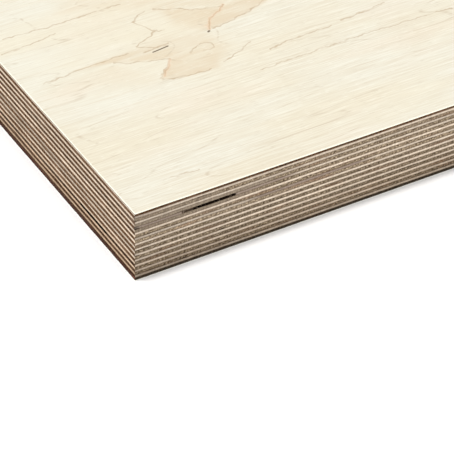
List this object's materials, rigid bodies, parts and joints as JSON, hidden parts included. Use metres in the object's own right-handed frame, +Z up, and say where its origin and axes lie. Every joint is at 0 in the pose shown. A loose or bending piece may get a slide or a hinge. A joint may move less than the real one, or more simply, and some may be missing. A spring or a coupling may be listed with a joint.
{
  "type": "plywood sheet",
  "caption": "Thick flat plywood sheet of cross-laid birch veneers with a pale decorative veneer on both faces. The layers show along its cut edges.",
  "frame": {"origin": "centre of the underside of the back veneer", "axes": "+X along the sheet's length, which is the grain direction of the face; +Y across its width; +Z up through its thickness, towards the face"},
  "size_m": [0.6, 0.4, 0.0354],
  "materials": {
    "outer_veneer": "pale cream decorative veneer, sanded, matt",
    "long_veneer": "birch veneer with its grain along the sheet, sawn edge",
    "cross_veneer": "birch veneer with its grain across the sheet, sawn edge"
  },
  "bodies": {
    "root": {"face_veneer": "outer_veneer", "core_ply_01": "cross_veneer", "core_ply_02": "long_veneer", "core_ply_03": "cross_veneer", "core_ply_04": "long_veneer", "core_ply_05": "cross_veneer", "core_ply_06": "long_veneer", "core_ply_07": "cross_veneer", "core_ply_08": "long_veneer", "core_ply_09": "cross_veneer", "core_ply_10": "long_veneer", "core_ply_11": "cross_veneer", "core_ply_12": "long_veneer", "core_ply_13": "cross_veneer", "core_ply_14": "long_veneer", "core_ply_15": "cross_veneer", "core_ply_16": "long_veneer", "core_ply_17": "cross_veneer", "core_ply_18": "long_veneer", "core_ply_19": "cross_veneer", "core_ply_20": "long_veneer", "core_ply_21": "cross_veneer", "core_ply_22": "long_veneer", "core_ply_23": "cross_veneer", "core_ply_24": "long_veneer", "core_ply_25": "cross_veneer", "back_veneer": "outer_veneer"}
  },
  "joints": []
}
